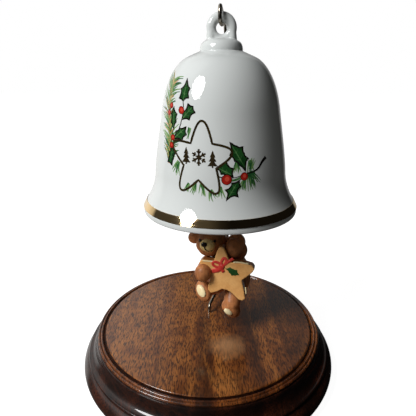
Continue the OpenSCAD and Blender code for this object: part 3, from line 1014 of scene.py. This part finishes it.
def base_outline():
    """The turned outline from the disc's centre down to the felt, in the order of its four pieces."""
    def out(x, drop):
        return (DISC_R + x, DISC_Z - drop)
    top = [(0, DISC_Z), out(-0.8, 0)] + arc(out(-0.35, 0.35), (0.35, 0.35), 90, 0, 5)
    top += [out(0, 1.4), (0, DISC_Z - 1.4)]
    groove = [out(-0.4, 0.3), out(0.04, 0.3), out(0.1, 1.0), out(0.25, 1.25), out(0.8, 1.25), out(0.98, 0.95),
              out(0.98, 2.0), out(-0.4, 2.0)]
    beads = arc(out(1.32, 0.5), (0.4, 0.4), 180, 0, 8) + arc(out(2.2, 0.8), (0.5, 0.5), 150, 0, 8)
    beads += [out(2.4, 1.3), out(2.4, 3), out(-2, 3), out(-2, 1.3), out(0, 1.3)]
    roll = [out(2.0, 1.25)] + arc(out(2.0, 2.4), (1.25, 1.7), 36, 0, 10)
    cove = arc(out(5.55, 2.6), (2.3, 3.45), 180, 255, 16)
    fillet = arc(out(5.7, 6.45), (0.42, 0.42), 120, -60, 8)
    ovolo = arc((BASE_R - 3.2, DISC_Z - 10.6), (3.2, 3.4), 80, -60, 24)
    foot = [(BASE_R - UNDER_INSET, FELT_T), (0, FELT_T), (0, DISC_Z - 2.2)]
    return top, groove, beads, roll + cove + fillet + ovolo + foot


def make_base():
    """Four turned pieces of differently stained wood. The groove ring takes the near-black moulding stain,
    which also paints shade into the groove and onto the disc's edge wall.
    """
    names = ("disc_top", "groove_ring", "bead_ring", "base_moulding")
    # The near-black stain on the groove ring is also painted shade in the groove and on the disc's edge
    woods = (WALNUT_TOP, WALNUT_EDGE, WALNUT_BEAD, WALNUT_EDGE)
    for name, outline, wood in zip(names, base_outline(), woods):
        finish_piece(name, lathe(outline, WOOD_SIDES), wood, "stand",
                     nodes=["base_turning"], sharp=50)


def make_hanger():
    """One bent wire: up from the disc behind the bell, over its crown and down into the hook."""
    low, high = [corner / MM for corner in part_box("wire_hanger")]
    wire_r = 0.55
    swing = JOINTS["bell_swing"]["pos_m"][2] / MM
    reach = 2.38
    hook_r = 2.28
    back = high.y - wire_r - 0.01
    front_x, tail_x = BELL_X - 0.6, BELL_X + 0.6
    foot, knee = (0.5, 4.2, low.z), (0.5, 4.2, DISC_Z + 3.0)
    heel, elbow = (8.5, back, DISC_Z + 6.2), (6.2, back, RIM_Z + 57.6)
    hook = [(front_x, -reach, RIM_Z + 59.45), (front_x, -reach, swing),
            (tail_x, reach, swing), (tail_x, reach, swing + 2.7)]
    path = rounded_path([foot, knee, heel, elbow, *hook], (1.6, 7, 6, 1.9, hook_r, hook_r), 16)
    tip = path[-1]
    path += [tip + Vector((0, 0, 0.18)), tip + Vector((0, 0, 0.3))]
    radii = [wire_r] * (len(path) - 2) + [wire_r * 0.86, wire_r * 0.45]
    finish_piece("hanger_wire", sweep(path, radii, 28), HANGER, "stand", nodes=["wire_hanger"])


def make_clapper_wires():
    """The staple in the crown, the link with its two eyes, and the figure's staple."""
    half, bend, eye_r = 1.8, 1.2, 0.45
    bar = JOINTS["clapper_swing"]["pos_m"][2] / MM - RIM_Z
    figure_bar = JOINTS["figure_tip"]["pos_m"][2] / MM - RIM_Z
    roof = 44.9
    crown = rounded_path([(0, -half, roof), (0, -half, bar), (0, half, bar), (0, half, roof)], (bend, bend))
    finish_piece("crown_eye", sweep(crown, eye_r, 20), BRIGHT, "bell", AT_BELL, ["crown_staple"])
    rooted = figure_bar - 11.4
    staple = rounded_path([(-half, 0, rooted), (-half, 0, figure_bar),
                           (half, 0, figure_bar), (half, 0, rooted)], (bend, bend))
    finish_piece("figure_eye", sweep(staple, eye_r, 20), BRIGHT, "figure", AT_BELL,
                 ["figure_staple"])
    mid, ring_r, shank_r = 1.35, 0.4, 0.34
    play = mid - ring_r - eye_r - 0.05
    top, low = bar - play, figure_bar + play
    shank = sweep([(0, 0, low + mid), (0, 0, top - mid)], shank_r, 20)
    from_eye = [mid + 0.7 + 0.34 * k for k in range(4)]
    wraps = [ring((0, 0, z), "XY", shank_r + 0.12, 0.2)
             for z in [low + away for away in from_eye] + [top - away for away in from_eye]]
    link = join(ring((0, 0, top), "XZ", mid, ring_r), ring((0, 0, low), "YZ", mid, ring_r), shank, *wraps)
    finish_piece("link_wire", link, BRIGHT, "link", AT_BELL, ["clapper_link"])


def paint_felt():
    for slot in frame["nodes"]["felt_pad"].material_slots:
        slot.material = FELT


# ---------------------------------------------------------------- studio
def make_camera():
    """The photograph's view: a short-lens camera 83 mm above the disc, looking down 18.5 degrees."""
    camera = bpy.data.objects.new("camera", bpy.data.cameras.new("camera"))
    camera.data.sensor_width = 36
    camera.data.lens = 32.88
    camera.data.clip_start = 0.01
    camera.location = (0, -119.6 * MM, (DISC_Z + 83) * MM)
    camera.rotation_euler = (math.radians(90 - 18.5), 0, 0)
    bpy.context.scene.collection.objects.link(camera)
    bpy.context.scene.camera = camera


def make_floor():
    """White paper that only the camera sees."""
    s = Shader("pale_floor", Roughness=0.8, Emission_Color=(1, 1, 1, 1), Emission_Strength=0.97)
    s.colour(s.mix(s.noise(30, 3), (0.40, 0.40, 0.40), (0.44, 0.44, 0.44)))
    mesh = bpy.data.meshes.new("floor")
    half = 3.0
    corners = [(-half, -half, 0), (half, -half, 0), (half, half, 0), (-half, half, 0)]
    mesh.from_pydata(corners, [], [(0, 1, 2, 3)])
    mesh.materials.append(s.material)
    floor = bpy.data.objects.new("floor", mesh)
    bpy.context.scene.collection.objects.link(floor)
    floor.visible_diffuse = False
    floor.visible_glossy = False
    floor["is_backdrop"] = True


def soft_box(name, azimuth, elevation, distance, size, power):
    """An oval softbox aimed at the bell. Azimuth 0 is straight in front, and minus is to the left."""
    light = bpy.data.lights.new(name, "AREA")
    light.shape = "ELLIPSE"
    light.size, light.size_y = size
    light.energy = power
    lamp = bpy.data.objects.new(name, light)
    a, e = math.radians(azimuth), math.radians(elevation)
    aim = Vector((BELL_X, 0, RIM_Z + 25)) * MM
    away = Vector((math.sin(a) * math.cos(e), -math.cos(a) * math.cos(e), math.sin(e)))
    lamp.location = aim + away * distance
    lamp.rotation_euler = away.to_track_quat("Z", "Y").to_euler()
    bpy.context.scene.collection.objects.link(lamp)


def make_world():
    """White paper behind the camera's view; a room that is bright at the left and back, dark at the right."""
    world = bpy.data.worlds.new("studio")
    world.use_nodes = True
    bpy.context.scene.world = world
    tree = world.node_tree
    tree.nodes.remove(tree.nodes["Background"])
    s = Nodes(tree, "Generated")

    def level(direction, *stops):
        """Greys by how far a ray points along direction: place 0 is straight against it, and 1 along it."""
        return s.ramp(s.math("MULTIPLY_ADD", s.measure("DOT_PRODUCT", direction), 0.5, 0.5), *stops)

    def light(strength, colour):
        return s.new("Background", "Background", Color=(*colour, 1), Strength=strength)

    def choose(which, otherwise, chosen):
        node = tree.nodes.new("ShaderNodeMixShader")
        for socket, source in zip(node.inputs, (which, otherwise, chosen)):
            s.put(socket, source)
        return node.outputs[0]

    right, up = (1, 0, 0), (0, 0, 1)
    side = level(right, (0.0, 0.42), (0.25, 0.13), (0.45, 0.015), (0.6, 0.003), (1.0, 0.012))
    height = level(up, (0.2, 0.35), (0.5, 0.8), (0.7, 1.0), (1.0, 0.7))
    under = level(up, (0.0, 0.24), (0.35, 0.14), (0.5, 0.0))
    fill = s.math("ADD", s.math("MULTIPLY", side, height), under)
    behind = level((-0.259, 0.966, 0.0), (0.785, 0.0), (0.83, 0.75), (0.9, 1.0))
    tall = level(up, (0.2, 0.5), (0.5, 1.0), (0.62, 0.7), (0.7, 0.5), (0.8, 0.95), (1.0, 0.5))
    gap = level(right, (0.40, 1.0), (0.435, 0.75), (0.465, 0.12), (0.53, 0.03), (0.56, 0.3),
                (0.60, 0.35), (0.64, 0.35), (0.70, 0.5))
    corner = level((-0.58, 0.30, 0.757), (0.92, 0.0), (0.97, 0.6))
    ahead = level(right, (0.0, 0.06), (0.36, 0.065), (0.5, 0.018), (0.6, 0.006))
    back = s.math("MULTIPLY", s.math("MULTIPLY", behind, tall), gap)
    mirrored = s.math("ADD", s.math("MAXIMUM", back, corner), ahead)

    path = tree.nodes.new("ShaderNodeLightPath").outputs
    room = choose(path["Is Glossy Ray"], light(fill, (1.0, 0.98, 0.94)), light(mirrored, (1.0, 0.99, 0.97)))
    seen = choose(path["Is Camera Ray"], room, light(1.0, (1, 1, 1)))
    tree.links.new(seen, tree.nodes["World Output"].inputs[0])


def make_studio():
    make_floor()
    soft_box("key", azimuth=-54, elevation=36.5, distance=0.55, size=(0.23, 0.27), power=3.3)
    make_world()
    bpy.context.scene.view_settings.view_transform = "Standard"


make_camera()
make_studio()
make_base()
make_bell()
make_crown()
make_leaves()
make_berries()
make_star_print()
make_greenery()
make_star()
make_bear()
make_face()
make_figure_trim()
make_hanger()
make_clapper_wires()
paint_felt()


def corners(bounds):
    return [[float(value) for value in corner] for corner in bounds]


{"cad": corners(cad_bounds), "visual": corners(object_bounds())}
